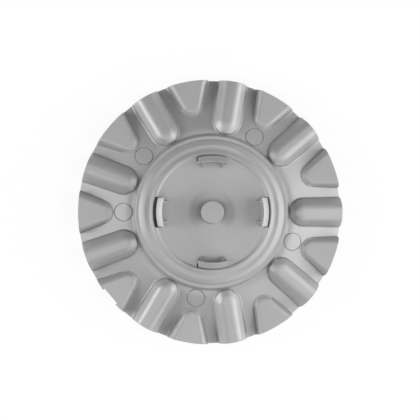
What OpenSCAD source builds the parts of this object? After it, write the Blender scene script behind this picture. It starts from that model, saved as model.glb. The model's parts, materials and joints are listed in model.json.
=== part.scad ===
// Wheel centre cap, moulded in one piece, drawn with its hub side up.
// The origin is on the cap's axis, in the plane that its front rim rests on.

/* [Rim and wall] */
// Outside diameter of the cap
rim_d = 147; // [136:0.5:160]
// Thickness of the moulded wall
wall = 2.5; // [1.8:0.1:3]
// Width of the flat that the rim's front edge rests on
rim_flat = 0.8; // [0.4:0.1:2]

/* [Flange] */
// Radius of the arc that the flange follows from hub to rim
flange_arc = 86; // [76:1:110]
// Radius from the axis at which that arc is level
flange_level_r = 29; // [24:0.5:34]

/* [Hub ring] */
// Height of the hub floor above the flange at the ring's foot
hub_rise = 5.9; // [5:0.1:8]
// Radius of the flat hub floor, which the rest of the ring and the clips follow
floor_r = 30.8; // [29.8:0.1:32]
// Height of the seat above the hub floor
seat_h = 0.6; // [0.4:0.1:1.2]
// Width of the slope from the hub floor up to the seat
seat_run = 1.1; // [0.6:0.1:1.6]
// Width of the level seat that meets the wheel
seat_w = 1; // [0.6:0.1:1.8]
// Width from the seat to where the ring's brow turns down
saddle_run = 3.5; // [2.8:0.1:4.2]
// Radius of the rounded brow
brow_round = 1.2; // [0.6:0.1:1.8]
// Height that the brow drops, down to the apron
brow_drop = 1.2; // [0.9:0.1:1.6]
// Width from the brow to the edge of the lip outside the apron
lip_run = 5.4; // [4.8:0.1:6.2]
// Depth of the lip below the hub floor
lip_drop = 2.3; // [1.9:0.1:3]
// Width of the ring's outer wall, from the lip's edge to its foot
ring_wall = 1.6; // [1.2:0.1:2.2]

/* [Pads] */
// Number of long pads, and of the short pads between them
pad_count = 9; // [7:1:9]
// Taper of the pads' side walls, in degrees
pad_draft = 7; // [3:0.5:12]

/* [Long pads] */
// Distance from the ring's foot to the centre of a long pad's round end
long_gap = 8; // [7:0.5:12]
// Height of the crest above the flange at that centre
long_rise = 4.4; // [3:0.1:6]
// Slope of the crest down to the rim, in degrees
long_slope = 9; // [5:0.5:14]
// Half width of the flat along the crest
long_half = 1.4; // [0.8:0.1:2.4]
// Radius of a long pad's shoulders
long_round = 6.8; // [5.6:0.1:7]

/* [Short pads] */
// Radius from the axis to the centre of a short pad's round end
short_end_r = 62; // [60:0.5:65]
// Height of the flat top above the flange at that centre
short_rise = 2.9; // [2:0.1:4]
// Slope of the flat top down to the rim, in degrees
short_slope = 5.5; // [2:0.5:9]
// Radius of the flat part of the round end
short_half = 5; // [4:0.1:5.4]
// Radius of a short pad's shoulders
short_round = 2.7; // [2.6:0.1:3.2]

/* [Snap clips] */
// Width of one clip, and of the window behind it
clip_w = 15.8; // [12:0.2:18]
// Distance of a clip's inner face from the edge of the hub floor
clip_inset = 3.6; // [3:0.1:4.4]
// Thickness of a clip's leg
clip_leg = 1.9; // [1.5:0.1:2.2]
// Reach of a hook beyond its leg
hook_reach = 1.6; // [1.2:0.1:2]
// Height of the hooks' catch above the hub floor
catch_h = 5; // [4:0.1:7]
// Height of the clips above the hub floor
clip_h = 10.5; // [9.5:0.1:13]
// Width of the windows outside the legs of the two clips on the X axis
wide_window = 3.1; // [2.6:0.1:3.4]
// Width of the windows outside the legs of the two clips on the Y axis
narrow_window = 2.5; // [2:0.1:3.2]
// Distance of each gusset from its clip's centreline
gusset_off = 5.5; // [3:0.1:5.5]
// Thickness of a gusset
gusset_t = 1.1; // [0.8:0.1:1.6]
// Reach of a gusset inwards from its clip
gusset_reach = 3; // [2:0.1:4]
// Height of a gusset
gusset_h = 6.5; // [4:0.1:8]

/* [Centre boss] */
// Diameter of the centre boss
boss_d = 12.6; // [10:0.2:16]
// Height of the centre boss above the hub floor
boss_h = 5.5; // [3:0.1:8]
// Bevel round the boss's top edge
boss_bevel = 0.4; // [0.2:0.1:1]

/* [Marks of the mould] */
// Diameter of an ejector mark
mark_d = 10.2; // [8:0.2:10.4]
// Distance from the ring's foot to the centre of an ejector mark
mark_gap = 4.9; // [4.6:0.1:5.6]
// Height of the ejector marks above the flange
mark_h = 0.2; // [0.1:0.05:0.5]
// Width of the pry notch in the rim
notch_w = 10.5; // [8:0.5:14]
// Depth of the pry notch, inwards from the rim
notch_deep = 1.3; // [0.8:0.1:2]

/* [Hidden] */
$fn = 96;
silver = [0.66, 0.66, 0.67];
rim_r = rim_d / 2;
pitch = 360 / pad_count;
below = 6; // how far the filled forms run on below the rest plane
beyond = 4; // how far they run on outside the rim
arc_n = 5; // straight steps in a rounded edge

// The flange's back follows one arc, and its front meets the rest plane at the rim's flat
flange_arc_z = -sqrt(pow(flange_arc - wall, 2) - pow(rim_r - rim_flat - flange_level_r, 2));
function flange_z(r) = flange_arc_z + sqrt(pow(flange_arc, 2) - pow(r - flange_level_r, 2));
function flange_slope(r) = asin((r - flange_level_r) / flange_arc);

seat_in_r = floor_r + seat_run;
seat_out_r = seat_in_r + seat_w;
brow_r = seat_out_r + saddle_run;
lip_r = brow_r + lip_run;
ring_foot_r = lip_r + ring_wall;
floor_z = flange_z(ring_foot_r) + hub_rise;
saddle_h = seat_h / 4; // height of the level strip inside the brow
saddle_w = 0.9;
brow_turn = 50; // degrees that the brow turns down from level
lip_w = 0.7;
foot_fillet = 0.9; // width of the bevel at the foot of the ring's wall
pad_deep = floor_z + below;
long_end_r = ring_foot_r + long_gap;
nose_proud = 0.12; // a short pad's round end is this much fuller than the runs seated in it
clip_in_r = floor_r - clip_inset;
leg_out_r = clip_in_r + clip_leg;
hook_r = leg_out_r + hook_reach;
mark_r = ring_foot_r + mark_gap;
leg_root_z = floor_z - wall / 2; // what stands on the hub floor is rooted in it
clip_tip = 0.4; // flat width on top of a clip
clip_lean = 0.2; // how far a clip's inner face leans out at its top
hook_nose = 0.9; // height of the hook's upright nose
hook_under = 0.4; // how far the hook's catch slopes up to its nose
window_gap = 0.4; // clearance beside a clip in its window
x_clips = [0, 180];
y_clips = [90, 270];
clip_angles = concat(x_clips, y_clips);
mark_angles = [60, 140, 180, 260, 340];
notch_angle = 220;

function arc(centre, r, a0, a1) =
    [for (i = [0:arc_n]) let (a = a0 + (a1 - a0) * i / arc_n) centre + r * [cos(a), sin(a)]];

// Half of a pad's cross-section, from its middle outwards with the top at zero,
// drawn inside the true outline by the given inset
function half_section(half, round, inset) =
    let (
        shoulder = arc([half, -round], round - inset, 90, pad_draft),
        side = shoulder[arc_n],
        drop = pad_deep + side[1]
    )
    concat([[0, -pad_deep], [0, -inset]], shoulder, [side + drop * [tan(pad_draft), -1]]);

function mirrored(points) = [for (i = [len(points) - 1:-1:0]) [-points[i][0], points[i][1]]];

// A straight run of a pad along +X from its round end
module pad_run(points, length) {
    rotate([90, 0, 90]) linear_extrude(length)
        polygon(concat([for (p = points) if (p[0] > 0) p], [for (p = mirrored(points)) if (p[0] < 0) p]));
}

// The filled form under the flange's back, or inside it by the wall
module flange_form(inset) {
    rotate_extrude() intersection() {
        translate([flange_level_r, flange_arc_z]) circle(r = flange_arc - inset, $fn = 360);
        translate([0, -below]) square([rim_r + beyond, floor_z + below]);
    }
}

// The raised ring and floor of the hub, from the axis outwards and down to the flange
module hub_form() {
    saddle_z = floor_z + saddle_h;
    brow = arc([brow_r, saddle_z - brow_round], brow_round, 90, 90 - brow_turn);
    brow_foot_r = brow[arc_n][0] + (brow[arc_n][1] - saddle_z + brow_drop) / tan(brow_turn);
    foot_z = flange_z(ring_foot_r);
    rotate_extrude() polygon(concat(
        [
            [0, -below], [0, floor_z], [floor_r, floor_z],
            [seat_in_r, floor_z + seat_h], [seat_out_r, floor_z + seat_h],
            [brow_r - saddle_w, saddle_z]
        ],
        brow,
        [
            [brow_foot_r, saddle_z - brow_drop],
            [lip_r - lip_w, floor_z - lip_drop], [lip_r, floor_z - lip_drop],
            [ring_foot_r, foot_z + foot_fillet / 3],
            [ring_foot_r + foot_fillet, foot_z - foot_fillet / 2],
            [ring_foot_r + foot_fillet, -below]
        ]
    ));
}

// The recess in the front that leaves the ring and floor one wall thick
module hub_recess() {
    ceiling = floor_z - wall;
    rotate_extrude() polygon([
        [0, -below], [0, ceiling], [brow_r - wall / 4, ceiling],
        [lip_r - lip_w - wall / 2, floor_z - lip_drop - wall],
        [lip_r - wall / 2, floor_z - lip_drop - wall * 1.6],
        [ring_foot_r - wall / 2, -below]
    ]);
}

module long_pad(inset) {
    section = half_section(long_half, long_round, inset);
    translate([long_end_r, 0, flange_z(long_end_r) + long_rise]) rotate([0, long_slope, 0]) {
        pad_run(section, rim_r + beyond - long_end_r);
        rotate([0, 0, 90]) rotate_extrude(angle = 180) polygon(section);
    }
}

// The sides of a short pad run parallel to the long pads beside it
module short_pad(inset) {
    section = half_section(short_half, short_round, inset);
    translate([short_end_r, 0, flange_z(short_end_r) + short_rise]) rotate([0, short_slope, 0]) {
        for (side = [-1, 1]) rotate([0, 0, side * pitch / 2])
            pad_run(section, (rim_r + beyond - short_end_r) / cos(pitch / 2));
        rotate_extrude() polygon(half_section(short_half + nose_proud, short_round, inset));
    }
}

module pads(inset) {
    for (i = [0:pad_count - 1]) rotate([0, 0, i * pitch]) {
        long_pad(inset);
        rotate([0, 0, pitch / 2]) short_pad(inset);
    }
}

// Shallow discs that the ejector pins leave on the flange
module ejector_marks() {
    for (a = mark_angles) rotate([0, 0, a])
        translate([mark_r, 0, flange_z(mark_r)]) rotate([0, flange_slope(mark_r), 0])
            translate([0, 0, -wall / 2]) cylinder(d = mark_d, h = wall / 2 + mark_h);
}

// The shallow notch that a lever fits in to lift the cap off
module pry_notch() {
    rotate([0, 0, notch_angle]) translate([rim_r - notch_deep, -notch_w / 2, -below])
        cube([notch_deep + beyond, notch_w, floor_z + below]);
}

// A ring cut down to the width of the clips at some angles, with room beside them
module at_clips(angles, gap) {
    intersection() {
        children();
        for (a = angles) rotate([0, 0, a]) translate([clip_in_r / 2, -clip_w / 2 - gap, 0])
            cube([clip_in_r, clip_w + 2 * gap, floor_z + clip_h + 1]);
    }
}

module clip_windows(angles, width) {
    at_clips(angles, window_gap) difference() {
        cylinder(r = leg_out_r + width, h = floor_z + clip_h);
        translate([0, 0, -1]) cylinder(r = leg_out_r, h = floor_z + clip_h + 2);
    }
}

// Everything of even wall: flange, pads, ring and floor
module shell() {
    intersection() {
        difference() {
            union() {
                flange_form(0);
                ejector_marks();
                hub_form();
                pads(0);
            }
            flange_form(wall);
            hub_recess();
            pads(wall);
            clip_windows(x_clips, wide_window);
            clip_windows(y_clips, narrow_window);
            pry_notch();
        }
        cylinder(r = rim_r, h = floor_z + seat_h + 1, $fn = 360);
    }
}

// Four legs whose hooks snap behind the edge of the wheel's bore
module snap_clips() {
    top_z = floor_z + clip_h;
    nose_z = floor_z + catch_h + hook_under;
    at_clips(clip_angles, 0) rotate_extrude() polygon([
        [clip_in_r, leg_root_z], [clip_in_r, floor_z], [clip_in_r + clip_lean, top_z],
        [clip_in_r + clip_lean + clip_tip, top_z],
        [hook_r, nose_z + hook_nose], [hook_r, nose_z],
        [leg_out_r, floor_z + catch_h], [leg_out_r, leg_root_z]
    ]);
}

// A pair of thin gussets props each clip from inside
module clip_gussets() {
    gusset_end = clip_in_r + clip_leg / 4;
    for (a = clip_angles, side = [-1, 1]) rotate([0, 0, a])
        translate([0, side * gusset_off + gusset_t / 2, 0]) rotate([90, 0, 0]) linear_extrude(gusset_t) polygon([
            [clip_in_r - gusset_reach, leg_root_z], [clip_in_r - gusset_reach, floor_z],
            [clip_in_r - gusset_reach * 0.2, floor_z + gusset_h], [gusset_end, floor_z + gusset_h],
            [gusset_end, leg_root_z]
        ]);
}

module centre_boss() {
    top_z = floor_z + boss_h;
    rotate_extrude() polygon([
        [0, leg_root_z], [boss_d / 2, leg_root_z], [boss_d / 2, top_z - boss_bevel],
        [boss_d / 2 - boss_bevel, top_z], [0, top_z]
    ]);
}

module centre_cap() {
    color(silver) union() {
        shell();
        snap_clips();
        clip_gussets();
        centre_boss();
    }
}
centre_cap();
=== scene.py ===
# %% [markdown]
# # A wheel centre cap, seen from its hub side
#
# The real cap is one injection moulding: a domed flange of even wall, a raised hub
# ring, eighteen hollow pads that stiffen the flange, a boss, and four snap clips.
# This notebook dresses the fixed frame with a finer skin of the same shape, gives
# it a satin silver finish, and lights it as a product shot on a white table.

# %% Load the frame and keep its box
import json
import math
import bmesh
import bpy
import numpy as np
from mathutils import Matrix, Vector
from mathutils.geometry import delaunay_2d_cdt


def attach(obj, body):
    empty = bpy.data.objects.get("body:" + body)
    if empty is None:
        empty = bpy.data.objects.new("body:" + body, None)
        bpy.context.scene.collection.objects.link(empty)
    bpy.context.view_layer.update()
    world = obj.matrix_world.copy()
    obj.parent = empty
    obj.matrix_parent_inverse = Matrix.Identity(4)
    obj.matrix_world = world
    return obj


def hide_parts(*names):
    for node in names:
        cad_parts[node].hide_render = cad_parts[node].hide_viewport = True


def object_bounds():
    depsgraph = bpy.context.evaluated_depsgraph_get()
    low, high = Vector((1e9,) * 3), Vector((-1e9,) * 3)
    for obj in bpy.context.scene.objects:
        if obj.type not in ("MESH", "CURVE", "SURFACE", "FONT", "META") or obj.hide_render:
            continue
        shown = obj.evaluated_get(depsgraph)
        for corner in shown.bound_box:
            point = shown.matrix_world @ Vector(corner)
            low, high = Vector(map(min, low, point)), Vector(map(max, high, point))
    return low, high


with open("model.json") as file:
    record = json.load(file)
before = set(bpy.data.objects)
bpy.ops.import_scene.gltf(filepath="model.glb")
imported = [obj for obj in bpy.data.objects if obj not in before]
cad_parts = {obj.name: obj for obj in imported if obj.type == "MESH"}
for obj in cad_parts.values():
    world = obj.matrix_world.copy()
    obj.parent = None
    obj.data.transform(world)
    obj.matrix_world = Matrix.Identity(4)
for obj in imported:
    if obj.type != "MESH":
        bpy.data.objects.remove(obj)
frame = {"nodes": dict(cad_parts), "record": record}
cad_box = [list(corner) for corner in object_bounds()]
MM = 0.001
print("frame box in mm:", [[round(c / MM, 2) for c in corner] for corner in cad_box])

# %% [markdown]
# ## Driving sizes
#
# All sizes are in millimetres, as a drawing gives them. The rim's radius and the
# height of the hub floor are read from the frame, so that the skin follows it.
# The rest are the moulding's own sizes: wall, flange, ring, pads and clips.

# %% Sizes of the moulding
RIM_R = (cad_box[1][0] - cad_box[0][0]) / 2 / MM
SEAT_H = 0.6
seat_mount = next(m for m in frame["record"]["mounts"] if m["name"] == "wheel_seat")
FLOOR_Z = seat_mount["pos_m"][2] / MM - SEAT_H
WALL = 2.5
RIM_FLAT = 0.8
FLANGE_ARC = 86
LEVEL_R = 29
LEVEL_TO_R = 44.0
STRAIGHT_FROM_R = 47.5
FALL = math.tan(math.radians(20))
ARC_Z = -math.sqrt((FLANGE_ARC - WALL) ** 2 - (RIM_R - RIM_FLAT - LEVEL_R) ** 2)
BOSS_R = 6.3
BOSS_H = 5.5
RING_FOOT_R = 43.4
CLIP_ANGLES = [math.radians(a) for a in (0, 90, 180, 270)]
CLIP_W = 15.8
LEG_IN_R = 27.2
LEG_OUT_R = 29.1
print("rim radius", round(RIM_R, 2), "hub floor at", round(FLOOR_Z, 2))

# %% [markdown]
# ## The slope of the flange
#
# Between the pads the real flange is level next to the ring, bends down, and runs
# straight to the rim. The bend is a parabola, so that the slope changes evenly and
# no crease shows. The crests of the pads are measured from an arc instead, because
# the frame's own pads stand on that arc and the skin has to keep their height.

# %% Height of the flange at a radius
def arc_z(r):
    """Height of the arc that the pads' crests are measured from."""
    return ARC_Z + np.sqrt(FLANGE_ARC ** 2 - (r - LEVEL_R) ** 2)


def flange_z(r, inset=0.0):
    """Height of the flange between the pads, or of a face an inset below it."""
    bend = STRAIGHT_FROM_R - LEVEL_TO_R
    inwards = np.clip(STRAIGHT_FROM_R - r, 0, bend)
    level = inwards - inwards ** 2 / (2 * bend)
    rise = FALL * (RIM_R - np.maximum(r, STRAIGHT_FROM_R) + level)
    return arc_z(RIM_R) + rise - inset * math.hypot(1, FALL)


print("flange at the ring", round(float(flange_z(RING_FOOT_R)), 2),
      "and at the rim", round(float(flange_z(RIM_R)), 2))

# %% [markdown]
# ## Turned forms: the hub, its ring and the flange
#
# Seen in section the hub is a line that turns corners, and every corner of a
# moulding is rounded. So each section is a short list of corners with a radius,
# and one helper puts an arc in each. The skin later reads its height off these.
# A bevel on the finished mesh would be another way, but it would have to run over
# windows and pads, where a rule for the height has no trouble.

# %% A helper that rounds the corners of a line
def rounded(corners, step=14.0):
    """A line through corners (r, z, radius), with an arc of that radius at each."""
    line = [np.array(corners[0][:2], float)]
    for before, corner, after in zip(corners, corners[1:], corners[2:]):
        point = np.array(corner[:2], float)
        back = np.array(before[:2], float) - point
        ahead = np.array(after[:2], float) - point
        back /= np.linalg.norm(back)
        ahead /= np.linalg.norm(ahead)
        turn = math.pi - math.acos(float(np.clip(back @ ahead, -1, 1)))
        middle = back + ahead
        centre = point + middle / np.linalg.norm(middle) * corner[2] / math.cos(turn / 2)
        spoke = point + back * corner[2] * math.tan(turn / 2) - centre
        side = math.copysign(1, back[1] * ahead[0] - back[0] * ahead[1])
        steps = max(2, math.ceil(math.degrees(turn) / step))
        for k in range(steps + 1):
            a = side * turn * k / steps
            line.append(centre + [spoke[0] * math.cos(a) - spoke[1] * math.sin(a),
                                  spoke[0] * math.sin(a) + spoke[1] * math.cos(a)])
    line.append(np.array(corners[-1][:2], float))
    return np.array(line)


square_corner = rounded([(0, 0, 0), (1, 0, 0.2), (1, 1, 0)])
print("a rounded square corner takes", len(square_corner), "points")

# %% The sections of the hub side and of the front
APRON_END = RING_FOOT_R + 1.4
LIP_DROP = 2.3
foot_z = float(flange_z(RING_FOOT_R))
back_section = rounded([
    (0.0, FLOOR_Z + BOSS_H, 0),
    (BOSS_R - 0.08, FLOOR_Z + BOSS_H, 0.45),
    (BOSS_R + 0.04, FLOOR_Z, 0.4),
    (30.8, FLOOR_Z, 0.6),
    (31.9, FLOOR_Z + SEAT_H, 0.3),
    (32.9, FLOOR_Z + SEAT_H, 0.3),
    (34.6, FLOOR_Z - 0.25, 3.2),
    (36.9, FLOOR_Z - 0.25, 0.8),
    (39.1, FLOOR_Z - LIP_DROP / 2, 0.3),
    (40.1, FLOOR_Z - LIP_DROP, 0.3),
    (41.8, FLOOR_Z - LIP_DROP, 0.4),
    (RING_FOOT_R, foot_z, 0.4),
    (APRON_END, float(flange_z(APRON_END)), 0),
])
front_section = rounded([
    (0.0, FLOOR_Z - WALL, 0),
    (35.8, FLOOR_Z - WALL, 1.0),
    (39.85, FLOOR_Z - LIP_DROP - WALL, 0.8),
    (40.55, FLOOR_Z - LIP_DROP - WALL * 1.6, 0.6),
    (40.69, float(flange_z(40.69, WALL)), 0.9),
    (42.2, float(flange_z(42.2, WALL)), 0),
])


def turned(r, section, inset):
    """Height of a turned section at a radius, with the flange outside it."""
    inner = np.interp(r, section[:, 0], section[:, 1])
    outer = np.maximum(flange_z(np.maximum(r, section[-1, 0]), inset), 0.0)
    return np.where(r < section[-1, 0], inner, outer)


print("back section:", len(back_section), "points; front section:", len(front_section))

# %% [markdown]
# ## Pads
#
# Nine long pads and nine short ones fan out between the ring and the rim. A pad
# is a tunnel with a round end. From its flat crest it goes over a rounded shoulder
# and down a leaning flank, and where that ends above the ground, down a short steep
# wall with a little mould draft. A small fillet rounds the foot. The short pads
# widen outwards, because their sides run parallel to their neighbours.
#
# Eighteen separate meshes would need seams where they meet the flange. Here the
# pads are only numbers, and the skin is lifted over them later.

# %% The two kinds of pad
class Pad:
    """Sizes of one kind of pad in millimetres, with its angles in degrees."""

    def __init__(self, end_r, rise, slope, half, shoulder, side, foot, turn, angles):
        self.end_r = end_r
        self.crest = float(arc_z(end_r)) + rise
        self.fall = math.tan(math.radians(slope))
        self.half = half
        self.shoulder = shoulder
        self.side = side
        self.foot = foot
        self.turn = math.radians(turn)
        self.angles = [math.radians(a) for a in angles]


LONG = Pad(end_r=51.4, rise=4.4, slope=10, half=0.9, shoulder=5.5, side=6.8,
           foot=0.7, turn=0, angles=range(0, 360, 40))
SHORT = Pad(end_r=61.0, rise=1.9, slope=2.2, half=3.0, shoulder=3.2, side=3.5,
            foot=0.6, turn=20, angles=range(20, 380, 40))
print("long pad crest at", round(LONG.crest, 2), "short pad top at", round(SHORT.crest, 2))

# %% [markdown]
# ## The section of a pad
#
# A pad's height at a point depends on the distance from its spine, so one rule
# draws the straight run and the round end of both kinds. Round the tip the drop is
# gentler than along the sides, as on the real noses, which catch a soft light. The
# same rule turned round gives the place of the foot, where the pad meets the ground.

# %% Rules for a pad's height and its foot
DRAFT = math.radians(7)
FLANK = math.radians(50)
NOSE_SHARE = 0.5
NEAR_CENTRE = 0.5
LEAST_SHOULDER = 0.7


def spine_distance(pad, u, v):
    """Distance from a pad's spine, where u runs outwards from its round end's centre."""
    v = np.abs(v)
    along = u * math.cos(pad.turn) + v * math.sin(pad.turn)
    across = v * math.cos(pad.turn) - u * math.sin(pad.turn)
    return np.where(along < 0, np.hypot(u, v), np.maximum(across, 0))


def steepness(u, d):
    """Share of the full drop: one along the sides, less round the end's tip."""
    facing = np.clip(-u / np.maximum(d, NEAR_CENTRE), 0, 1)
    return 1 - (1 - NOSE_SHARE) * facing ** 2


def section_of(pad, inset):
    """Shoulder radius, then distance out and drop where the arc and the flank end."""
    r = max(pad.shoulder - inset, LEAST_SHOULDER)
    arc_out, arc_drop = r * math.sin(FLANK), r * (1 - math.cos(FLANK))
    side_out = max(pad.side - inset, arc_out)
    return r, arc_out, arc_drop, side_out, arc_drop + (side_out - arc_out) * math.tan(FLANK)


def drop(pad, d, inset, share):
    """How far a pad's surface has dropped below its crest at a distance from its spine."""
    r, arc_out, _, side_out, _ = section_of(pad, inset)
    out = np.clip(d - pad.half, 0, None)
    on_arc = r - np.sqrt(r * r - np.minimum(out, arc_out) ** 2)
    on_flank = np.clip(out - arc_out, 0, side_out - arc_out) * math.tan(FLANK)
    return (on_arc + on_flank) * share + np.maximum(out - side_out, 0) / math.tan(DRAFT)


def foot(pad, height, inset, share):
    """Distance from the spine at which a pad of this height meets the ground."""
    r, _, arc_drop, _, side_drop = section_of(pad, inset)
    full = height / share
    on_arc = np.sqrt(np.maximum(r * r - (r - np.minimum(full, arc_drop)) ** 2, 0))
    on_flank = np.clip(full - arc_drop, 0, side_drop - arc_drop) / math.tan(FLANK)
    on_wall = np.maximum(height - side_drop * share, 0) * math.tan(DRAFT)
    return pad.half + on_arc + on_flank + on_wall


side_foot = float(foot(LONG, 4.0, 0, 1.0))
print("a long pad 4 mm high is", round(2 * side_foot, 2), "mm wide at its foot")

# %% Raise the pads from the ground
PAD_INWARDS = 14
PAD_ASIDE = 18
FOOT_FRONT = 1.2
FILLET_SHARE = 0.8
LEAST_FILLET = 1e-6


def pad_height(pad, u, ground, inset):
    """Height of a pad's crest above the ground."""
    return np.maximum(pad.crest - inset - u * pad.fall - ground, 0)


def fillet_of(pad, inset, height):
    """Size of the fillet at a pad's foot, less where the pad is low."""
    return np.minimum(FOOT_FRONT if inset else pad.foot, FILLET_SHARE * height)


def raised(x, y, ground, inset):
    """What the pads add to the ground at each point."""
    rise = np.zeros_like(x)
    for pad in (LONG, SHORT):
        for angle in pad.angles:
            u = x * math.cos(angle) + y * math.sin(angle) - pad.end_r
            v = y * math.cos(angle) - x * math.sin(angle)
            near = np.flatnonzero((u > -PAD_INWARDS) & (np.abs(v) < PAD_ASIDE))
            u, v = u[near], v[near]
            height = pad_height(pad, u, ground[near], inset)
            d = spine_distance(pad, u, v)
            share = steepness(u, np.hypot(u, v))
            beyond = d - foot(pad, height, inset, share)
            size = np.maximum(fillet_of(pad, inset, height), LEAST_FILLET)
            inside = np.maximum(size, height - drop(pad, d, inset, share))
            near_foot = np.clip(1 - beyond / size, 0, 1)
            outside = size * (1 - np.sqrt(1 - near_foot ** 2))
            lift = np.where(height > 0, np.where(beyond < 0, inside, outside), 0)
            rise[near] = np.maximum(rise[near], lift)
    return rise


test_x = np.array([LONG.end_r, RIM_R])
test_ground = turned(test_x, back_section, 0)
test_rise = raised(test_x, np.zeros(2), test_ground, 0)
print("a long pad rises", round(float(test_rise[0]), 2), "mm at its round end and",
      round(float(test_rise[1]), 2), "mm at the rim")

# %% [markdown]
# ## Free edges and marks
#
# The sheet ends at the rim, at a small pry notch, and at four windows that let a
# clip bend. A moulded edge is never knife sharp, so the height also depends on
# the distance to the nearest free edge. The ejector pins leave five round marks,
# each a disc a little proud of the flange in a fine groove.

# %% Sizes of the notch, the windows and the marks
NOTCH_ANGLE = math.radians(220)
NOTCH_HALF = 5.25
NOTCH_DEPTH = 1.3
NOTCH_FLOOR = RIM_R - NOTCH_DEPTH
LEG_OVERLAP = 0.05
WINDOW_IN = LEG_OUT_R - LEG_OVERLAP
WINDOW_OUT_X = 32.2
WINDOW_OUT_Y = 31.3
WINDOW_PLAY = 0.4
WINDOW_HALF = CLIP_W / 2 + WINDOW_PLAY
RIM_ROUND = 0.3
WINDOW_ROUND = 0.12
MARK_ANGLES = [math.radians(a) for a in (60, 140, 180, 260, 340)]
MARK_AT = 48.3
MARK_R = 4.9
MARK_RISE = 0.2
GROOVE_HALF = 0.38
GROOVE_DEPTH = 0.60
print("windows", 2 * WINDOW_HALF, "mm wide; marks", 2 * MARK_R, "mm across")


# %% Distances to the free edges
def rim_distance(x, y):
    """Distance in plan to the rim or the notch."""
    u = x * math.cos(NOTCH_ANGLE) + y * math.sin(NOTCH_ANGLE)
    v = y * math.cos(NOTCH_ANGLE) - x * math.sin(NOTCH_ANGLE)
    to_notch = np.hypot(np.maximum(NOTCH_FLOOR - u, 0), np.maximum(np.abs(v) - NOTCH_HALF, 0))
    return np.minimum(RIM_R - np.hypot(x, y), to_notch)


def window_out(angle):
    """Outside radius of a clip's window; the two on the Y axis are narrower."""
    return WINDOW_OUT_X if abs(math.cos(angle)) > 0.5 else WINDOW_OUT_Y


def window_distance(x, y):
    """Distance in plan to the nearest clip window, zero inside it."""
    r = np.hypot(x, y)
    best = np.full_like(x, 1e3)
    for angle in CLIP_ANGLES:
        u = x * math.cos(angle) + y * math.sin(angle)
        v = np.abs(y * math.cos(angle) - x * math.sin(angle))
        away = np.maximum(np.maximum(WINDOW_IN - r, r - window_out(angle)), 0)
        aside = np.maximum(v - WINDOW_HALF, 0)
        best = np.where(u > 0, np.minimum(best, np.hypot(away, aside)), best)
    return best


middle_of_clip = (np.array([(LEG_IN_R + LEG_OUT_R) / 2]), np.zeros(1))
print("the window starts", round(float(window_distance(*middle_of_clip)[0]), 2),
      "mm outside the middle of a leg")


# %% Height of the hub side and of the front
def edge_drop(distance, size):
    """How far a rounded edge has dropped at a distance inside it."""
    inside = np.clip(size - distance, 0, size)
    return size - np.sqrt(size * size - inside * inside)


def marks(x, y):
    """What the ejector marks add: a raised disc inside a groove."""
    rise = np.zeros_like(x)
    for angle in MARK_ANGLES:
        rho = np.hypot(x - MARK_AT * math.cos(angle), y - MARK_AT * math.sin(angle))
        disc = np.clip((MARK_R - rho) / GROOVE_HALF + 0.5, 0, 1) * MARK_RISE
        groove = np.clip(1 - np.abs(rho - MARK_R) / GROOVE_HALF, 0, 1)
        rise += disc - GROOVE_DEPTH * groove * groove * (3 - 2 * groove)
    return rise


def back_height(x, y):
    """Height of the skin on the hub side."""
    ground = turned(np.hypot(x, y), back_section, 0)
    z = ground + raised(x, y, ground, 0) + marks(x, y)
    z -= edge_drop(rim_distance(x, y), RIM_ROUND)
    return z - edge_drop(window_distance(x, y), WINDOW_ROUND)


def front_height(x, y):
    """Height of the skin on the front, a wall's thickness lower."""
    ground = turned(np.hypot(x, y), front_section, WALL)
    z = ground + raised(x, y, ground, WALL)
    z += edge_drop(rim_distance(x, y), RIM_ROUND)
    return z + edge_drop(window_distance(x, y), WINDOW_ROUND)


on_floor = (np.array([15.0]), np.array([0.0]))
floor_wall = (back_height(*on_floor) - front_height(*on_floor))[0]
print("wall at the hub floor:", round(float(floor_wall), 2), "mm")

# %% [markdown]
# ## A plan to lift the skin from
#
# The whole moulding can be drawn as one plan, since nothing but the clips
# undercuts. A grid would cut across the pads' edges and leave them ragged. So
# the plan is drawn in lines that follow each form, as contour lines do: around
# the pads at each step of their shoulders, along their feet, and round the hub.
# A constrained triangulation then joins these lines into one flat sheet. This is
# the one mesh here that no operator makes, because no operator follows contours.

# %% A plan and helpers that draw in it
plan_points = []
plan_edges = []


def draw(points, closed=False, keep=None):
    """Add a line to the plan, leaving out the stretches that keep rules out."""
    keep = np.ones(len(points), bool) if keep is None else keep
    first = len(plan_points)
    plan_points.extend(Vector((float(p[0]), float(p[1]))) for p, k in zip(points, keep) if k)
    number = np.cumsum(keep) - 1 + first
    ends = len(points) if closed else len(points) - 1
    for i in range(ends):
        j = (i + 1) % len(points)
        if keep[i] and keep[j]:
            plan_edges.append((int(number[i]), int(number[j])))


def circle(radius, steps, centre=(0.0, 0.0)):
    """Points evenly round a circle."""
    turns = np.arange(steps) * 2 * math.pi / steps
    return np.stack([centre[0] + radius * np.cos(turns),
                     centre[1] + radius * np.sin(turns)], 1)


def turn_plan(points, angle, shift):
    """Points moved along X by a shift and then turned about the axis."""
    p = points + [shift, 0]
    return np.stack([p[:, 0] * math.cos(angle) - p[:, 1] * math.sin(angle),
                     p[:, 0] * math.sin(angle) + p[:, 1] * math.cos(angle)], 1)


quarter = turn_plan(np.array([[1.0, 0.0]]), math.pi / 2, 0)
print("a quarter turn takes (1, 0) to", quarter.round(3))

# %% [markdown]
# A pad's lines all start from its spine, which is a bent line: in along one side,
# round the end's centre, and out along the other side. Moving each of its points
# outwards by the same distance gives one contour of the shoulder. The line of the
# foot is found by trial: the ground is lower further out, so the distance to the
# foot is worked out again and again until it settles.

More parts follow.
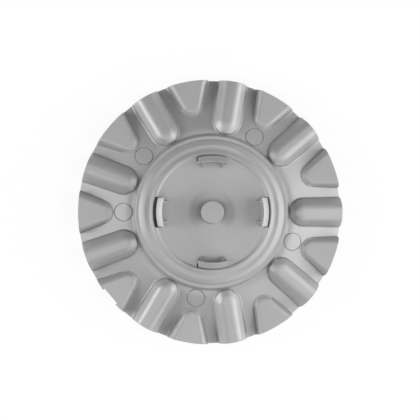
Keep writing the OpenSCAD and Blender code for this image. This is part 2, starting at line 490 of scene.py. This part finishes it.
# %% Lines that follow a pad
SPINE_STEP = 1.5
SPINE_PAST_RIM = 3
NOSE_STEPS = 22
SHOULDER_STEP = 0.6
FOOT_TRIALS = 12
LEAST_FLANK = 0.2
CLEAR_OF_FOOT = 0.8
FILLET_STEPS = (-math.tan(DRAFT), 0.0, 0.12, 0.35, 1.0)
LEAST_HEIGHT = 0.05


def spine(pad):
    """Points on a pad's spine, each with the direction that leads off it in plan."""
    ray = np.array([math.cos(pad.turn), math.sin(pad.turn)])
    out = np.array([-math.sin(pad.turn), math.cos(pad.turn)])
    count = math.ceil((RIM_R + SPINE_PAST_RIM - pad.end_r) / SPINE_STEP)
    runs = np.arange(count, 0, -1)[:, None] * SPINE_STEP * ray
    turns = np.linspace(math.pi / 2 + pad.turn, 1.5 * math.pi - pad.turn, NOSE_STEPS + 1)
    nose = np.stack([np.cos(turns), np.sin(turns)], 1)
    flip = np.array([1, -1])
    at = np.concatenate([runs, np.zeros_like(nose), runs[::-1] * flip])
    off = np.concatenate([np.tile(out, (count, 1)), nose, np.tile(out * flip, (count, 1))])
    return at, off


def pad_lines(pad, section, inset):
    """Lines round one pad in its own plan, with the stretches of each to keep."""
    at, off = spine(pad)

    def ground_at(d):
        p = at + off * d[:, None]
        return p[:, 0], turned(np.hypot(p[:, 0] + pad.end_r, p[:, 1]), section, inset)

    d = np.full(len(at), pad.half + pad.side)
    for _ in range(FOOT_TRIALS):
        u, ground = ground_at(d)
        v = (at + off * d[:, None])[:, 1]
        height = pad_height(pad, u, ground, inset)
        d = foot(pad, height, inset, steepness(u, np.hypot(u, v)))
    size = fillet_of(pad, inset, height)
    r, arc_out, _, side_out, _ = section_of(pad, inset)
    arc = r * np.sin(np.linspace(0, FLANK, max(3, math.ceil(r / SHOULDER_STEP)) + 1))
    has_flank = side_out > arc_out + LEAST_FLANK
    flank = np.linspace(arc_out, side_out, 4)[1:] if has_flank else []
    lines = []
    for radius in pad.half + np.concatenate([arc, flank]):
        keep = np.full(len(at), radius) < d - CLEAR_OF_FOOT * size
        lines.append((at + off * radius, keep))
    for out in FILLET_STEPS:
        lines.append((at + off * (d + out * size)[:, None], height > LEAST_HEIGHT))
    return lines


print("lines round a long pad:", len(pad_lines(LONG, back_section, 0)))

# %% Draw the pads and the turned forms
BOSS_STEPS = 36
HUB_STEPS = 180
NEAR_BOSS_R = 10
for pad in (LONG, SHORT):
    lines = pad_lines(pad, back_section, 0) + pad_lines(pad, front_section, WALL)
    for angle in pad.angles:
        for points, keep in lines:
            draw(turn_plan(points, angle, pad.end_r), keep=keep)
        crest_line = np.array([[0.0, 0.0], [RIM_R - pad.end_r, 0.0]])
        draw(turn_plan(crest_line, angle, pad.end_r))
pad_points = len(plan_points)
for section in (back_section, front_section):
    for radius in section[1:, 0]:
        steps = BOSS_STEPS if radius < NEAR_BOSS_R else HUB_STEPS
        draw(circle(radius, steps), closed=True)
print("lines round the pads:", pad_points, "points; with the hub:", len(plan_points))

# %% [markdown]
# The free edges and the marks come next. The rim's outline is a circle with the
# notch cut into it, drawn once at the edge and again at each step of its rounding.

# %% Draw the free edges and the marks
RIM_POINTS = 361
NOTCH_POINTS = 9
WINDOW_POINTS = 25
MARK_STEPS = 56


def rim_outline(inwards):
    """The rim with its notch, moved inwards by a distance."""
    half = NOTCH_HALF + inwards
    bottom = NOTCH_FLOOR - inwards
    reach = RIM_R - inwards
    opening = math.asin(half / reach)
    turns = np.linspace(opening, 2 * math.pi - opening, RIM_POINTS)
    ring = np.stack([reach * np.cos(turns), reach * np.sin(turns)], 1)
    cut = [[bottom, v] for v in np.linspace(-half, half, NOTCH_POINTS)]
    return turn_plan(np.concatenate([ring, cut]), NOTCH_ANGLE, 0)


def window_outline(angle, grow):
    """A clip window's outline, drawn about +X and grown by a distance."""
    half = WINDOW_HALF + grow
    sides = []
    for radius, way in ((window_out(angle) + grow, 1), (WINDOW_IN - grow, -1)):
        limit = math.asin(half / radius)
        turns = np.linspace(-limit, limit, WINDOW_POINTS) * way
        sides.append(np.stack([radius * np.cos(turns), radius * np.sin(turns)], 1))
    return np.concatenate(sides)


ROUND_STEPS = [1 - math.cos(a) for a in np.linspace(0, math.pi / 2, 4)]
for share in ROUND_STEPS:
    draw(rim_outline(RIM_ROUND * share), closed=True)
    for angle in CLIP_ANGLES:
        draw(turn_plan(window_outline(angle, WINDOW_ROUND * share), angle, 0), closed=True)
for angle in MARK_ANGLES:
    centre = (MARK_AT * math.cos(angle), MARK_AT * math.sin(angle))
    for share in (-1.0, -0.5, 0.0, 0.5, 1.0):
        draw(circle(MARK_R + share * GROOVE_HALF, MARK_STEPS, centre), closed=True)
print("with the free edges and marks:", len(plan_points), "points")

# %% [markdown]
# Between the pads the flange bends, so it needs points of its own, or a few long
# triangles would bridge the bend. They stand in offset rows, as bricks do, which
# gives nearly even triangles. None stands on a pad or near a mark's groove.

# %% Scatter points on the open flange
SCATTER = 2.2
ROW_STRETCH = 1.15
RING_CLEAR = 1.6
RIM_CLEAR = 1
MARK_CLEAR = 0.9
grid = np.arange(-RIM_R, RIM_R, SCATTER)
gx, gy = (a.ravel() for a in np.meshgrid(grid, grid * math.sqrt(3) / 2 * ROW_STRETCH))
gx = gx + np.where(np.round(gy / SCATTER) % 2 == 0, 0, SCATTER / 2)
gr = np.hypot(gx, gy)
ground = turned(gr, back_section, 0)
open_ground = (gr > RING_FOOT_R + RING_CLEAR) & (rim_distance(gx, gy) > RIM_CLEAR)
open_ground &= raised(gx, gy, ground, 0) <= 0.0
for angle in MARK_ANGLES:
    rho = np.hypot(gx - MARK_AT * math.cos(angle), gy - MARK_AT * math.sin(angle))
    open_ground &= np.abs(rho - MARK_R) > MARK_CLEAR
gx, gy = gx[open_ground], gy[open_ground]
plan_points.extend(Vector((float(a), float(b))) for a, b in zip(gx, gy))
print("scattered points:", len(gx), "of", len(plan_points), "in the plan")

# %% Join the lines into a flat sheet
SAME_POINT = 0.004
PAST_RIM = 0.008
PAST_WINDOW = 1e-4
joined = delaunay_2d_cdt(plan_points, plan_edges, [], 0, SAME_POINT, False)
flat = np.array([tuple(p) for p in joined[0]])
triangles = np.array(joined[2])
middle = flat[triangles].mean(axis=1)
on_sheet = rim_distance(middle[:, 0], middle[:, 1]) > PAST_RIM
on_sheet &= window_distance(middle[:, 0], middle[:, 1]) > PAST_WINDOW
triangles = triangles[on_sheet]
print("flat sheet:", len(flat), "points,", len(triangles), "triangles")

# %% [markdown]
# ## Lifting the sheet into the moulding
#
# The flat sheet becomes a closed solid in one extrusion, which also makes the
# walls of the rim, the notch and the windows. Then each layer is lifted to its
# own height rule: the copy to the hub side, the original to the front. The rule
# also gives the exact slope at each point, so the shading normals come from it
# and stay smooth where triangles are long and thin.

# %% Extrude the sheet into a closed solid
def make_object(name, bm, materials):
    """Turn a bmesh into a smooth object in the scene."""
    mesh = bpy.data.meshes.new(name)
    bm.to_mesh(mesh)
    bm.free()
    piece = bpy.data.objects.new(name, mesh)
    bpy.context.scene.collection.objects.link(piece)
    for material in materials:
        mesh.materials.append(material)
    mesh.shade_smooth()
    return piece


bm = bmesh.new()
used = np.unique(triangles)
corners = {int(i): bm.verts.new((flat[i, 0], flat[i, 1], 0.0)) for i in used}
for a, b, c in triangles:
    bm.faces.new((corners[int(a)], corners[int(b)], corners[int(c)]))
rim_mark = bm.verts.layers.int.new("free_edge")
layer_mark = bm.verts.layers.int.new("hub_side")
for vertex in bm.verts:
    vertex[rim_mark] = int(vertex.is_boundary)
lifted = bmesh.ops.extrude_face_region(bm, geom=bm.faces[:])
for item in lifted["geom"]:
    if isinstance(item, bmesh.types.BMVert):
        item[layer_mark] = 1
        item.co.z = 1.0
bmesh.ops.recalc_face_normals(bm, faces=bm.faces[:])
skin = make_object("cap_shell", bm, [])
print("closed solid of", len(skin.data.polygons), "faces")

# %% Lift both layers and set the shading normals
mesh = skin.data
count = len(mesh.vertices)
place = np.empty(count * 3)
mesh.vertices.foreach_get("co", place)
place = place.reshape(-1, 3)
free_edge = np.empty(count, np.int32)
mesh.attributes["free_edge"].data.foreach_get("value", free_edge)
hub_side = np.empty(count, np.int32)
mesh.attributes["hub_side"].data.foreach_get("value", hub_side)
free_edge, hub_side = free_edge > 0, hub_side > 0


def height_of(x, y):
    """Height of each point of the skin, by the layer it belongs to."""
    return np.where(hub_side, back_height(x, y), front_height(x, y))


def edge_of(x, y):
    """Distance of each point to the nearest free edge."""
    return np.minimum(rim_distance(x, y), window_distance(x, y))


def slope_of(function, x, y, step=0.004):
    """The slope of a height rule along x and along y."""
    return ((function(x + step, y) - function(x - step, y)) / (2 * step),
            (function(x, y + step) - function(x, y - step)) / (2 * step))


x, y = place[:, 0].copy(), place[:, 1].copy()
place[:, 2] = height_of(x, y)
along_x, along_y = slope_of(height_of, x, y)
up = np.where(hub_side, 1.0, -1.0)
normal = np.stack([-along_x * up, -along_y * up, up], 1)
out_x, out_y = slope_of(edge_of, x, y, step=0.05)
outwards = np.stack([-out_x, -out_y, np.zeros(count)], 1)
normal[free_edge] = outwards[free_edge]
normal /= np.maximum(np.linalg.norm(normal, axis=1), 1e-9)[:, None]
mesh.vertices.foreach_set("co", (place * MM).ravel())
mesh.update()
mesh.normals_split_custom_set_from_vertices([tuple(n) for n in normal])
for name in ("free_edge", "hub_side"):
    mesh.attributes.remove(mesh.attributes[name])
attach(skin, "root")
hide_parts("centre_cap")
print("cap_shell:", len(mesh.polygons), "faces, z from",
      round(place[:, 2].min(), 2), "to", round(place[:, 2].max(), 2))

# %% [markdown]
# ## Snap clips
#
# Four hooked legs stand on the hub floor and spring behind the edge of the
# wheel's bore. Each is a stretch of one turned section, so the section is spun
# through an angle a little too wide, and two parallel cuts trim it to width. Two
# thin gussets prop each leg from inside. A box with a bend would be simpler, but its
# faces wouldn't follow the bore's curve, and the light on the hooks shows that.

# %% Sizes of a clip
CLIP_TOP = FLOOR_Z + 10.5
TIP_IN_R = 27.4
TIP_OUT_R = 27.8
HOOK_R = 30.7
HOOK_Z = FLOOR_Z + 5.4
HOOK_NOSE = 2.1
HOOK_LEAN = 0.4
CLIP_ROOT = FLOOR_Z - 1.2
clip_section = [
    (LEG_IN_R, CLIP_ROOT), (LEG_IN_R, FLOOR_Z), (TIP_IN_R, CLIP_TOP), (TIP_OUT_R, CLIP_TOP),
    (HOOK_R, HOOK_Z + HOOK_NOSE), (HOOK_R, HOOK_Z),
    (LEG_OUT_R, HOOK_Z - HOOK_LEAN), (LEG_OUT_R, CLIP_ROOT),
]
CLIP_SWEEP = math.radians(38)
CLIP_STEPS = 32
CLIP_ROUND = 0.16
GUSSET_OFF = 5.5
GUSSET_HALF = 0.55
GUSSET_IN_R = 24.2
GUSSET_TOP_R = 26.6
GUSSET_OUT_R = LEG_IN_R + 0.6
GUSSET_TOP = FLOOR_Z + 6.5
GUSSET_ROUND = 0.14
print("clips reach", round(CLIP_TOP - FLOOR_Z, 2), "mm above the floor and", HOOK_R, "mm out")


# %% Spin, trim and prop one clip
def bevel_edges(bm, size, segments=2, sharper_than=math.radians(25)):
    """Round the edges where the faces turn more than an angle."""
    bm.normal_update()
    sharp = [e for e in bm.edges if len(e.link_faces) == 2
             and e.calc_face_angle(0) > sharper_than]
    bmesh.ops.bevel(bm, geom=sharp, offset=size, segments=segments, profile=0.5,
                    affect="EDGES", clamp_overlap=True, material=-1)


def clip_leg(bm):
    """One leg about +X, spun, cut to width, capped and rounded."""
    ring = [bm.verts.new((r, 0, z)) for r, z in clip_section]
    edges = [bm.edges.new((a, b)) for a, b in zip(ring, ring[1:] + ring[:1])]
    bmesh.ops.rotate(bm, verts=ring, cent=(0, 0, 0),
                     matrix=Matrix.Rotation(-CLIP_SWEEP / 2, 3, "Z"))
    bmesh.ops.spin(bm, geom=ring + edges, cent=(0, 0, 0), axis=(0, 0, 1), dvec=(0, 0, 0),
                   angle=CLIP_SWEEP, steps=CLIP_STEPS, use_merge=False, use_duplicate=False)
    for side in (-1, 1):
        whole = bm.verts[:] + bm.edges[:] + bm.faces[:]
        bmesh.ops.bisect_plane(bm, geom=whole, dist=1e-5, plane_co=(0, side * CLIP_W / 2, 0),
                               plane_no=(0, side, 0), clear_outer=True)
    open_edges = [e for e in bm.edges if e.is_boundary]
    bmesh.ops.holes_fill(bm, edges=open_edges, sides=0)
    bmesh.ops.recalc_face_normals(bm, faces=bm.faces[:])
    bevel_edges(bm, CLIP_ROUND)


def gusset(bm, offset):
    """A thin triangular prop on the clip's inner side."""
    outline = [(GUSSET_IN_R, CLIP_ROOT), (GUSSET_IN_R, FLOOR_Z), (GUSSET_TOP_R, GUSSET_TOP),
               (GUSSET_OUT_R, GUSSET_TOP), (GUSSET_OUT_R, CLIP_ROOT)]
    ring = [bm.verts.new((r, offset - GUSSET_HALF, z)) for r, z in outline]
    face = bm.faces.new(ring)
    side = bmesh.ops.extrude_face_region(bm, geom=[face])
    moved = [v for v in side["geom"] if isinstance(v, bmesh.types.BMVert)]
    bmesh.ops.translate(bm, verts=moved, vec=(0, 2 * GUSSET_HALF, 0))
    bmesh.ops.recalc_face_normals(bm, faces=bm.faces[:])
    bevel_edges(bm, GUSSET_ROUND)


def merge_part(bm, maker, *values):
    """Make a part in a mesh of its own, then add it to the piece's mesh."""
    part = bmesh.new()
    maker(part, *values)
    holder = bpy.data.meshes.new("part")
    part.to_mesh(holder)
    part.free()
    bm.from_mesh(holder)
    bpy.data.meshes.remove(holder)


trial = bmesh.new()
clip_leg(trial)
print("one leg:", len(trial.faces), "faces")
trial.free()

# %% Four clips at quarter turns
CLIP_NAMES = ["clip_right", "clip_top", "clip_left", "clip_bottom"]
SHARP_FROM = math.radians(35)
clips = []
for name, angle in zip(CLIP_NAMES, CLIP_ANGLES):
    bm = bmesh.new()
    merge_part(bm, clip_leg)
    for offset in (-GUSSET_OFF, GUSSET_OFF):
        merge_part(bm, gusset, offset)
    bmesh.ops.rotate(bm, verts=bm.verts[:], cent=(0, 0, 0),
                     matrix=Matrix.Rotation(angle, 3, "Z"))
    bmesh.ops.scale(bm, verts=bm.verts[:], vec=(MM, MM, MM))
    clip = make_object(name, bm, [])
    clip.data.set_sharp_from_angle(angle=SHARP_FROM)
    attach(clip, "root")
    clips.append(clip)
print("clips:", len(clips), "of", len(clips[0].data.polygons), "faces each")

# %% [markdown]
# ## Satin silver plastic
#
# The cap is moulded in a grey plastic with fine metal flake, which reads as a
# soft sheen and not as bare metal. A Principled shader with part metal and a
# middling roughness gives that. Two effects come from one node group: a fine
# grain in the surface and a slow drift of tone, as the flow of the melt leaves.
# Both are noise on Object coordinates, so they stay fixed to the cap, need no
# unwrapping and look the same from every side.

# %% The moulded grain as a node group
GRAIN_IN_TONE = 0.6


def group_socket(group, name, way, value=None):
    """Add a number socket to a node group."""
    socket = group.interface.new_socket(name=name, in_out=way, socket_type="NodeSocketFloat")
    if value is not None:
        socket.default_value = value
    return socket


def moulded_grain():
    """Node group: fine grain height, and a slow and a fine variation of tone."""
    group = bpy.data.node_groups.new("moulded_grain", "ShaderNodeTree")
    group_socket(group, "Grain per metre", "INPUT", 1400.0)
    group_socket(group, "Drift per metre", "INPUT", 28.0)
    group_socket(group, "Grain", "OUTPUT")
    group_socket(group, "Tone", "OUTPUT")
    nodes, links = group.nodes, group.links
    given = nodes.new("NodeGroupInput")
    given.location = (-600, 0)
    result = nodes.new("NodeGroupOutput")
    result.location = (400, 0)
    where = nodes.new("ShaderNodeTexCoord")
    where.location = (-600, 250)
    grain = nodes.new("ShaderNodeTexNoise")
    grain.location = (-250, 200)
    grain.inputs["Detail"].default_value = 3.0
    grain.inputs["Roughness"].default_value = 0.6
    drift = nodes.new("ShaderNodeTexNoise")
    drift.location = (-250, -120)
    drift.inputs["Detail"].default_value = 2.0
    links.new(where.outputs["Object"], grain.inputs["Vector"])
    links.new(where.outputs["Object"], drift.inputs["Vector"])
    links.new(given.outputs["Grain per metre"], grain.inputs["Scale"])
    links.new(given.outputs["Drift per metre"], drift.inputs["Scale"])
    links.new(grain.outputs["Fac"], result.inputs["Grain"])
    mix = nodes.new("ShaderNodeMath")
    mix.location = (100, -60)
    mix.operation = "MULTIPLY_ADD"
    mix.inputs[1].default_value = GRAIN_IN_TONE
    links.new(grain.outputs["Fac"], mix.inputs[0])
    links.new(drift.outputs["Fac"], mix.inputs[2])
    links.new(mix.outputs[0], result.inputs["Tone"])
    return group


grain_group = moulded_grain()
print("moulded_grain:", [socket.name for socket in grain_group.interface.items_tree])

# %% [markdown]
# Round the boss the colour is darkened by painted shade: the soft shadow that the boss
# throws from the side lamps, so the ring is widest to its left and right and missing
# below. The group works out the distance from the axis, looks up the darkness in a
# ramp, and weakens it by the direction. The painted shade has soft edges and no height,
# so it is put in the colour and not in the mesh.

# %% The painted shade round the boss as a node group
# Stops of the painted shade: radius as a share of the group's width, and how dark it is
# there.
BOSS_SHADE_STOPS = ((0.310, 0.0), (0.318, 1.0), (0.400, 0.9),
              (0.440, 0.56), (0.580, 0.52), (0.680, 0.0))
BOSS_SHADE_SIDES = 1.35
BOSS_SHADE_UPPER = 0.25
BOSS_SHADE_BASE = -0.2


def math_node(group, operation, left, right, clamp=False):
    """Add a Math node fed by sockets or plain numbers, and return its output."""
    node = group.nodes.new("ShaderNodeMath")
    node.operation = operation
    node.use_clamp = clamp
    for socket, value in zip(node.inputs, (left, right)):
        if isinstance(value, (int, float)):
            socket.default_value = value
        else:
            group.links.new(value, socket)
    return node.outputs[0]


def painted_boss_shade():
    """Node group: how dark the painted shade round the boss is, 0 to 1."""
    group = bpy.data.node_groups.new("painted_boss_shade", "ShaderNodeTree")
    group_socket(group, "Metres across", "INPUT", 0.02)
    group_socket(group, "Shade", "OUTPUT")
    given = group.nodes.new("NodeGroupInput")
    result = group.nodes.new("NodeGroupOutput")
    where = group.nodes.new("ShaderNodeTexCoord")
    flat = group.nodes.new("ShaderNodeSeparateXYZ")
    group.links.new(where.outputs["Object"], flat.inputs[0])
    x, y = flat.outputs["X"], flat.outputs["Y"]
    xx = math_node(group, "MULTIPLY", x, x)
    square = math_node(group, "ADD", xx, math_node(group, "MULTIPLY", y, y))
    radius = math_node(group, "SQRT", square, 0.0)
    # The painted shade is strongest left and right of the boss, faint above it and none
    # below.
    side = math_node(group, "MULTIPLY", math_node(group, "DIVIDE", xx, square), BOSS_SHADE_SIDES)
    rising = math_node(group, "DIVIDE", y, radius)
    upper = math_node(group, "MULTIPLY_ADD", rising, BOSS_SHADE_UPPER)
    upper.node.inputs[2].default_value = BOSS_SHADE_BASE
    lobe = math_node(group, "ADD", side, upper, clamp=True)
    fade = group.nodes.new("ShaderNodeValToRGB")
    while len(fade.color_ramp.elements) < len(BOSS_SHADE_STOPS):
        fade.color_ramp.elements.new(0.5)
    for element, (position, level) in zip(fade.color_ramp.elements, BOSS_SHADE_STOPS):
        element.position = position
        element.color = (level, level, level, 1)
    share = math_node(group, "DIVIDE", radius, given.outputs["Metres across"])
    group.links.new(share, fade.inputs["Fac"])
    shade = math_node(group, "MULTIPLY", fade.outputs["Color"], lobe)
    group.links.new(shade, result.inputs["Shade"])
    return group


boss_shade_group = painted_boss_shade()
print("painted_boss_shade:", [socket.name for socket in boss_shade_group.interface.items_tree])

# %% [markdown]
# The material puts the groups together. The tone moves the colour between two near
# greys and the roughness between two near values, the grain bends the shading a
# little through a Bump node, and the painted shade round the boss mixes a darker grey in.

# %% The plastic itself
TONE_FROM, TONE_TO = 0.55, 1.0
DARK_GREY = (0.395, 0.397, 0.402, 1)
LIGHT_GREY = (0.435, 0.437, 0.44, 1)
# The grey of the painted shade round the boss.
BOSS_SHADE_GREY = (0.26, 0.26, 0.26, 1)
METAL_SHARE = 0.45
ROUGH_FROM, ROUGH_TO = 0.46, 0.52
GRAIN_STRENGTH = 0.08
GRAIN_DEPTH = 0.00008


def silver_plastic():
    """Satin silver-grey plastic on Object coordinates."""
    material = bpy.data.materials.new("satin_silver_plastic")
    material.use_nodes = True
    nodes, links = material.node_tree.nodes, material.node_tree.links
    shader = nodes["Principled BSDF"]
    shader.inputs["Metallic"].default_value = METAL_SHARE
    effect = nodes.new("ShaderNodeGroup")
    effect.location = (-900, 100)
    effect.node_tree = grain_group
    tone = nodes.new("ShaderNodeValToRGB")
    tone.location = (-600, 260)
    tone.color_ramp.elements[0].position = TONE_FROM
    tone.color_ramp.elements[0].color = DARK_GREY
    tone.color_ramp.elements[1].position = TONE_TO
    tone.color_ramp.elements[1].color = LIGHT_GREY
    gloss = nodes.new("ShaderNodeMapRange")
    gloss.location = (-600, -20)
    gloss.inputs["From Min"].default_value = TONE_FROM
    gloss.inputs["From Max"].default_value = TONE_TO
    gloss.inputs["To Min"].default_value = ROUGH_FROM
    gloss.inputs["To Max"].default_value = ROUGH_TO
    bump = nodes.new("ShaderNodeBump")
    bump.location = (-300, -260)
    bump.inputs["Strength"].default_value = GRAIN_STRENGTH
    bump.inputs["Distance"].default_value = GRAIN_DEPTH
    links.new(effect.outputs["Tone"], tone.inputs["Fac"])
    links.new(effect.outputs["Tone"], gloss.inputs["Value"])
    links.new(effect.outputs["Grain"], bump.inputs["Height"])
    # This node paints shade round the boss: it mixes a darker grey into the colour.
    mark = nodes.new("ShaderNodeGroup")
    mark.location = (-900, 500)
    mark.node_tree = boss_shade_group
    darker = nodes.new("ShaderNodeMix")
    darker.location = (-250, 400)
    darker.data_type = "RGBA"
    darker.blend_type = "MIX"
    colour_in = [i for i in darker.inputs if i.enabled and i.name in "AB"]
    colour_in[1].default_value = BOSS_SHADE_GREY
    links.new(mark.outputs["Shade"], darker.inputs["Factor"])
    links.new(tone.outputs["Color"], colour_in[0])
    links.new([o for o in darker.outputs if o.enabled][0], shader.inputs["Base Color"])
    links.new(gloss.outputs["Result"], shader.inputs["Roughness"])
    links.new(bump.outputs["Normal"], shader.inputs["Normal"])
    return material


plastic = silver_plastic()
for piece in [skin] + clips:
    piece.data.materials.clear()
    piece.data.materials.append(plastic)
frame["nodes"]["centre_cap"].data.materials.clear()
frame["nodes"]["centre_cap"].data.materials.append(plastic)
print("one finish on", len(clips) + 1, "pieces")

# %% [markdown]
# ## The white table
#
# The cap lies on its rim on a white table that fills the view. The table's own
# colour is white for the camera and for reflections, at a strength just under
# one, and a little diffuse light on top of it keeps the cap's soft shadow. Inside
# the rim the table is plain, so the slots behind the clips look into the dark.

# %% The table's material
TABLE_GLOW = 0.90
TABLE_SHADE = (0.10, 0.10, 0.10, 1)
PLAIN_TABLE = (0.8, 0.8, 0.8, 1)
PLAIN_WITHIN = 0.07


def white_table():
    """White to the camera and in reflections outside the cap, plain under it."""
    material = bpy.data.materials.new("white_table")
    material.use_nodes = True
    nodes, links = material.node_tree.nodes, material.node_tree.links
    nodes.clear()
    out = nodes.new("ShaderNodeOutputMaterial")
    shadow = nodes.new("ShaderNodeBsdfDiffuse")
    shadow.inputs["Color"].default_value = TABLE_SHADE
    glow = nodes.new("ShaderNodeEmission")
    glow.inputs["Strength"].default_value = TABLE_GLOW
    plain = nodes.new("ShaderNodeBsdfDiffuse")
    plain.inputs["Color"].default_value = PLAIN_TABLE
    seen = nodes.new("ShaderNodeAddShader")
    ray = nodes.new("ShaderNodeLightPath")
    either = nodes.new("ShaderNodeMath")
    either.operation = "MAXIMUM"
    any_ray = nodes.new("ShaderNodeMath")
    any_ray.operation = "MAXIMUM"
    choose = nodes.new("ShaderNodeMixShader")
    links.new(ray.outputs["Is Camera Ray"], either.inputs[0])
    links.new(ray.outputs["Is Glossy Ray"], either.inputs[1])
    links.new(either.outputs[0], any_ray.inputs[0])
    links.new(ray.outputs["Is Transmission Ray"], any_ray.inputs[1])
    where = nodes.new("ShaderNodeTexCoord")
    reach = nodes.new("ShaderNodeVectorMath")
    reach.operation = "LENGTH"
    open_table = nodes.new("ShaderNodeMath")
    open_table.operation = "GREATER_THAN"
    open_table.inputs[1].default_value = PLAIN_WITHIN
    white = nodes.new("ShaderNodeMath")
    white.operation = "MULTIPLY"
    links.new(where.outputs["Object"], reach.inputs[0])
    links.new(reach.outputs["Value"], open_table.inputs[0])
    links.new(any_ray.outputs[0], white.inputs[0])
    links.new(open_table.outputs[0], white.inputs[1])
    links.new(white.outputs[0], choose.inputs["Fac"])
    links.new(shadow.outputs[0], seen.inputs[0])
    links.new(glow.outputs[0], seen.inputs[1])
    links.new(plain.outputs[0], choose.inputs[1])
    links.new(seen.outputs[0], choose.inputs[2])
    links.new(choose.outputs[0], out.inputs["Surface"])
    return material


table_finish = white_table()
print("table material of", len(table_finish.node_tree.nodes), "nodes")

# %% The table
TABLE_HALF = 3.0
TABLE_GAP = 0.00002
bm = bmesh.new()
bmesh.ops.create_grid(bm, x_segments=1, y_segments=1, size=TABLE_HALF)
bmesh.ops.translate(bm, verts=bm.verts[:], vec=(0, 0, cad_box[0][2] - TABLE_GAP))
table = make_object("table", bm, [table_finish])
print("table of", TABLE_HALF * 2, "m at z", round(cad_box[0][2], 5))

# %% [markdown]
# ## Light
#
# The highlights on the pads show where the light comes from: a little from above,
# much from walls of light to the right and left, some from the bottom of the picture
# and almost none from its top. Nine area lamps stand for this, all at the same
# distance and turned to the cap, so each is described by its direction and its
# power. A dim even world fills the rest.

# %% Lamps
LAMP_AT = 1.6
OVERHEAD = (1.1, 1.1)
OVERHEAD_NARROW = (1.1, 0.6)
WALL_LAMP = (0.9, 0.5)


def lamp(name, azimuth, elevation, size, power):
    """An area lamp that faces the cap; azimuth is counter-clockwise from +X."""
    light = bpy.data.lights.new(name, "AREA")
    light.shape = "RECTANGLE"
    light.size, light.size_y = size
    light.energy = power
    holder = bpy.data.objects.new(name, light)
    bpy.context.scene.collection.objects.link(holder)
    a, e = math.radians(azimuth), math.radians(elevation)
    way = Vector((math.cos(a) * math.cos(e), math.sin(a) * math.cos(e), math.sin(e)))
    holder.location = way * LAMP_AT
    holder.rotation_euler = (-holder.location).to_track_quat("-Z", "Y").to_euler()
    return holder


lamps = [
    lamp("overhead", 0, 90, OVERHEAD, 2.0),
    lamp("overhead_low", 240, 70, OVERHEAD_NARROW, 4.0),
    lamp("right_wall", 0, 14, WALL_LAMP, 10.4),
    lamp("right_wall_top", 0, 48, WALL_LAMP, 5.6),
    lamp("right_wall_low", 330, 28, WALL_LAMP, 3.6),
    lamp("right_wall_high", 30, 28, WALL_LAMP, 2.8),
    lamp("left_wall", 180, 14, WALL_LAMP, 6.6),
    lamp("left_wall_top", 180, 28, WALL_LAMP, 10.5),
    lamp("bottom_wall", 300, 28, WALL_LAMP, 4.4),
]
print("lamps:", [(l.name, round(l.data.energy, 1)) for l in lamps])

# %% World
WORLD_STRENGTH = 0.16
world = bpy.data.worlds.new("studio")
world.use_nodes = True
sky = world.node_tree.nodes["Background"]
sky.inputs["Color"].default_value = (1, 1, 1, 1)
sky.inputs["Strength"].default_value = WORLD_STRENGTH
bpy.context.scene.world = world
print("world strength", WORLD_STRENGTH)

# %% [markdown]
# ## Camera
#
# The cap was photographed from nearly straight above with a long lens. Higher
# points lean to the right in the picture, so the camera stands a little to the
# left of the axis. The aim is moved so that the cap sits where it does in the
# picture.

# %% A long lens above the hub
CAMERA_AWAY = 0.75
CAMERA_TILT = math.radians(3.6)
FRAME_WIDTH = 0.2338
SENSOR = 36.0
AIM = Vector((-0.0003, 0.00116, 0.008))
lens = bpy.data.cameras.new("camera")
lens.sensor_fit = "HORIZONTAL"
lens.sensor_width = SENSOR
lens.lens = SENSOR * CAMERA_AWAY / FRAME_WIDTH
lens.clip_start = 0.01
lens.clip_end = 20
camera = bpy.data.objects.new("camera", lens)
bpy.context.scene.collection.objects.link(camera)
towards = Vector((-math.sin(CAMERA_TILT), 0, math.cos(CAMERA_TILT)))
stand = Matrix.Translation(AIM + towards * CAMERA_AWAY)
camera.matrix_world = stand @ Matrix.Rotation(-CAMERA_TILT, 4, "Y")
bpy.context.scene.camera = camera
bpy.context.scene.view_settings.view_transform = "Standard"
print("lens", round(lens.lens, 1), "mm")
